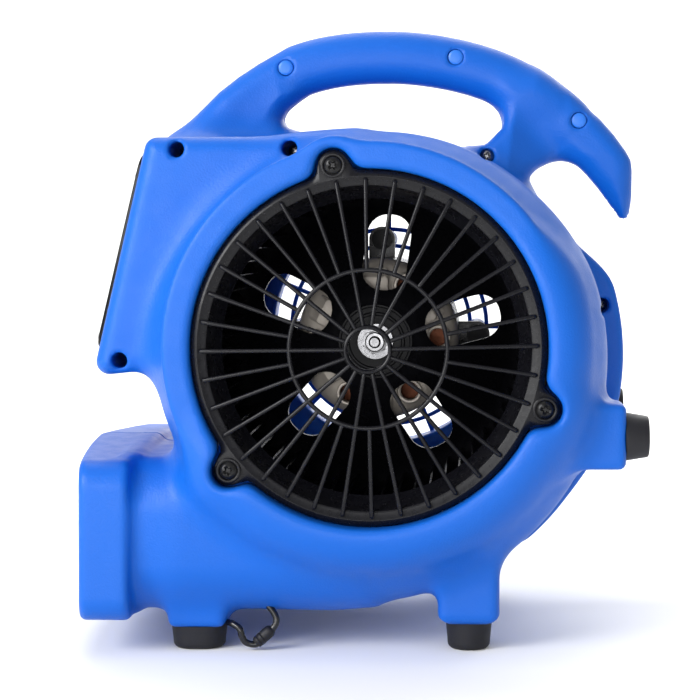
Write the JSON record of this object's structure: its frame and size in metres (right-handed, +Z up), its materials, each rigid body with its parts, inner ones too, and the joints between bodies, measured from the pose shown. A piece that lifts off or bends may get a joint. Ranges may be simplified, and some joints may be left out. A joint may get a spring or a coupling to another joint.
{
  "type": "centrifugal floor dryer air mover",
  "caption": "Compact moulded floor-drying blower with a side intake grille, low flat outlet nozzle, inclined control panel and an arched carrying handle with a hooked tail.",
  "frame": {"origin": "centre of the bounding box on the floor plane", "axes": "+Z up; the air outlet faces -X; the intake grille faces -Y and the motor side +Y; the fan axis is along Y at X 0.0075, Z 0.150; the housing halves meet on Y = 0"},
  "size_m": [0.285, 0.2365, 0.3115],
  "materials": {
    "blue_shell": "satin, fine moulded texture",
    "plug_blue": "satin",
    "black_plastic": "satin",
    "knob_plastic": "satin",
    "black_steel": "satin black",
    "zinc_steel": "zinc plated",
    "steel_core": "plain",
    "aluminium_cast": "as cast",
    "copper_wire": "enamelled copper wire",
    "rubber_black": "matt",
    "tether_rubber": "matt",
    "panel_gloss": "gloss",
    "button_red": "gloss",
    "capacitor_case": "gloss"
  },
  "bodies": {
    "blower": {"intake_side_housing": "blue_shell", "motor_side_housing": "blue_shell", "handle_plugs": "plug_blue", "housing_screws": "zinc_steel", "intake_grille": "black_plastic", "grille_screws": "black_steel", "outlet_grille": "black_plastic", "stator_core": "steel_core", "motor_winding": "copper_wire", "motor_shell": "black_steel", "motor_front_bell": "aluminium_cast", "motor_rear_bell": "aluminium_cast", "motor_bearings": "zinc_steel", "motor_mounts": "black_steel", "mount_bushings": "rubber_black", "control_panel": "panel_gloss", "panel_screws": "zinc_steel", "rotary_switch": "knob_plastic", "receptacles": "black_plastic", "breaker_body": "knob_plastic", "capacitor": "capacitor_case", "floor_feet": "rubber_black", "back_feet": "rubber_black", "foot_screws": "zinc_steel", "cord_gland": "rubber_black", "tether_cord": "tether_rubber", "tether_lock": "rubber_black"},
    "fan_rotor": {"impeller_wheel": "black_plastic", "impeller_hub": "aluminium_cast", "hub_washer": "zinc_steel", "hub_nut": "zinc_steel", "motor_shaft": "zinc_steel", "motor_rotor": "steel_core"},
    "knob": {"speed_knob": "knob_plastic"},
    "button": {"reset_button": "button_red"}
  },
  "joints": [
    {"name": "fan_spin", "type": "hinge", "parent": "blower", "child": "fan_rotor", "pos_m": [0.0075, 0, 0.15], "axis": [0, 1, 0], "continuous": true},
    {"name": "speed_knob_turn", "type": "hinge", "parent": "blower", "child": "knob", "pos_m": [-0.11943, 0.034, 0.21235], "axis": [-0.9736, 0, 0.2282], "range_deg": [0, 120]},
    {"name": "reset_button_press", "type": "slide", "parent": "blower", "child": "button", "axis": [0.9736, 0, -0.2282], "range_m": [0, 0.003], "stiffness_N_per_m": 500, "springref_m": -0.001}
  ]
}
